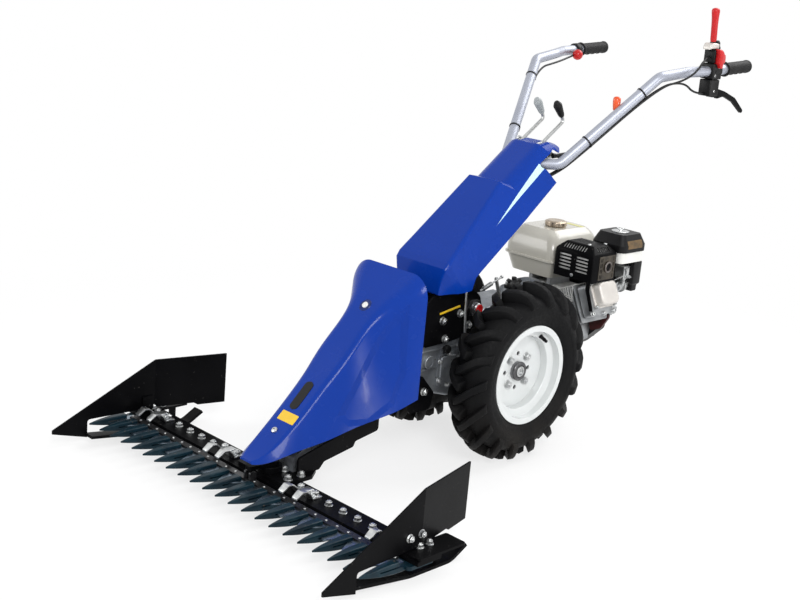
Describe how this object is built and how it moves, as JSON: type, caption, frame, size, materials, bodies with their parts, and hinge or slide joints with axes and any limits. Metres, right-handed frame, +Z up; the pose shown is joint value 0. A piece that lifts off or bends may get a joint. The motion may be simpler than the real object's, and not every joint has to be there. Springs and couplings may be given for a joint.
{
  "type": "sickle bar mower",
  "caption": "Walk-behind two-wheel tractor with a rear engine, handlebars on a sloping column and a reciprocating finger-bar cutter at the front.",
  "frame": {"origin": "on the ground, in the middle of the machine's length and width", "axes": "+Z up, -Y towards the cutter bar, +X the machine's left"},
  "size_m": [1.132, 1.8376, 1.2628],
  "materials": {
    "tyre_rubber": "matte",
    "white_paint": "gloss",
    "steel": "satin",
    "gearbox_alloy": "satin",
    "engine_alloy": "satin",
    "silver_paint": "satin",
    "black_paint": "satin",
    "tank_white": "gloss",
    "cap_metal": "gloss",
    "exhaust_metal": "satin",
    "black_plastic": "matte",
    "white_plastic": "satin",
    "blue_cover": "gloss",
    "grey_plastic": "satin",
    "finger_steel": "satin",
    "blade_steel": "satin",
    "zinc": "satin",
    "tube_silver": "gloss",
    "grip_rubber": "matte",
    "red_plastic": "gloss",
    "orange_plastic": "gloss",
    "cable_black": "satin"
  },
  "bodies": {
    "chassis": {"axle_housings": "gearbox_alloy", "gearbox_housing": "gearbox_alloy", "clutch_bell_housing": "gearbox_alloy", "engine_crankcase": "engine_alloy", "engine_cylinder": "engine_alloy", "rocker_cover": "silver_paint", "fan_shroud": "black_plastic", "recoil_starter": "black_plastic", "fuel_tank": "tank_white", "fuel_cap": "cap_metal", "muffler_guard": "black_paint", "muffler": "exhaust_metal", "air_cleaner_base": "white_plastic", "air_cleaner_cover": "black_plastic", "intake_elbow": "black_plastic", "carburetor": "engine_alloy", "engine_guard": "black_paint", "column_base": "black_paint", "steering_column": "black_paint", "column_cover": "blue_cover", "front_cover": "blue_cover", "gear_levers": "black_paint", "grey_gear_knob": "grey_plastic", "black_gear_knob": "black_plastic", "selector": "steel", "link_rod": "zinc", "hitch_plates": "black_paint", "mower_gearbox": "gearbox_alloy", "mower_frame": "black_paint", "cutter_bar": "black_paint", "finger_guards": "finger_steel", "hold_downs": "zinc", "bar_bracket": "black_paint", "left_swath_board": "black_paint", "right_swath_board": "black_paint", "left_skid": "black_paint", "right_skid": "black_paint", "handlebar_clamp": "black_paint", "lock_disc": "zinc", "lock_lever": "black_plastic"},
    "left_wheel": {"left_tyre": "tyre_rubber", "left_rim": "white_paint", "left_hub": "steel"},
    "right_wheel": {"right_tyre": "tyre_rubber", "right_rim": "white_paint", "right_hub": "steel"},
    "knife": {"knife_sections": "blade_steel", "knife_back": "steel"},
    "drive_arm": {"drive_arm": "black_paint"},
    "handlebar": {"handlebar_tube": "tube_silver", "left_grip": "grip_rubber", "right_grip": "grip_rubber", "control_bracket": "black_plastic", "safety_lever": "red_plastic", "clutch_lever": "black_paint", "throttle_lever": "red_plastic", "side_lever": "orange_plastic", "left_cables": "cable_black", "throttle_cable": "cable_black"}
  },
  "joints": [
    {"name": "left_wheel_spin", "type": "hinge", "parent": "chassis", "child": "left_wheel", "pos_m": [0.177, 0.1002, 0.254], "axis": [1, 0, 0], "continuous": true},
    {"name": "right_wheel_spin", "type": "hinge", "parent": "chassis", "child": "right_wheel", "pos_m": [-0.177, 0.1002, 0.254], "axis": [1, 0, 0], "continuous": true},
    {"name": "knife_stroke", "type": "slide", "parent": "chassis", "child": "knife", "axis": [1, 0, 0], "range_m": [-0.0254, 0.0254]},
    {"name": "drive_arm_swing", "type": "hinge", "parent": "chassis", "child": "drive_arm", "pos_m": [0, -0.6218, 0.089], "axis": [0, 0, 1], "range_deg": [-24, 24]},
    {"name": "handlebar_height", "type": "hinge", "parent": "chassis", "child": "handlebar", "pos_m": [0, 0.2352, 0.8], "axis": [1, 0, 0], "range_deg": [-12, 12]}
  ],
  "couplings": [
    {"joint": "drive_arm_swing", "follows": "knife_stroke", "rad_per_m": 16.341}
  ]
}
